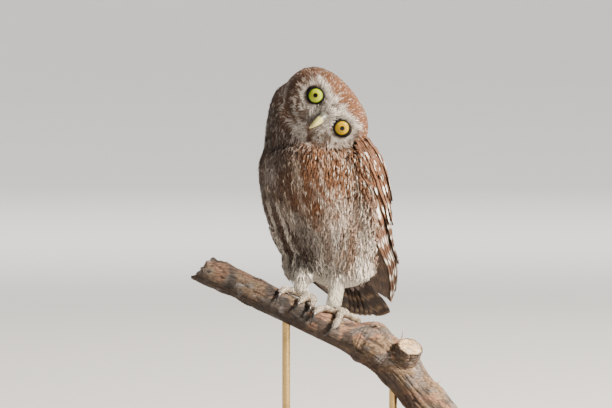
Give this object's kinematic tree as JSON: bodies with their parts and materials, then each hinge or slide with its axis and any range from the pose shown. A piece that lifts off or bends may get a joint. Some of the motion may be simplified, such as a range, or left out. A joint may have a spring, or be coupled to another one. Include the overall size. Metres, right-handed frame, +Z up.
{
  "type": "little owl museum model",
  "caption": "Life-size model of a little owl perched on a short cut length of branch, head tilted over to its left, held up by rods on a flat base.",
  "frame": {"origin": "centre of the stand's flat underside", "axes": "+Z up from the stand's underside; -Y the side that the owl's face looks out of; the branch runs along X and drops towards +X"},
  "size_m": [0.2312, 0.169, 0.3548],
  "materials": {
    "stand_wood": "dark, satin, plain",
    "stand_brass": "plain, lightly brushed",
    "bark": "rough grey-brown bark",
    "breast_feathers": "soft, matt body feathers",
    "head_feathers": "soft, matt head feathers",
    "brown_feathers": "matt flight and tail feathers",
    "leg_feathers": "short cream feathering",
    "toe_skin": "scaled toes with sparse bristles",
    "claw_horn": "dark, polished horn",
    "bill_horn": "pale yellow horn",
    "iris": "glossy yellow eye"
  },
  "bodies": {
    "root": {"stand_base": "stand_wood", "stand_rod_left": "stand_brass", "stand_rod_right": "stand_brass", "perch": "bark", "torso": "breast_feathers", "neck": "breast_feathers", "head": "head_feathers", "eye_left": "iris", "eye_right": "iris", "bill_upper": "bill_horn", "bill_lower": "bill_horn", "wing_left": "brown_feathers", "wing_right": "brown_feathers", "tail": "brown_feathers", "leg_left": "leg_feathers", "leg_right": "leg_feathers", "foot_left": "toe_skin", "foot_right": "toe_skin", "claw_left_inner": "claw_horn", "claw_left_middle": "claw_horn", "claw_left_outer": "claw_horn", "claw_left_hind": "claw_horn", "claw_right_inner": "claw_horn", "claw_right_middle": "claw_horn", "claw_right_outer": "claw_horn", "claw_right_hind": "claw_horn"}
  },
  "joints": []
}
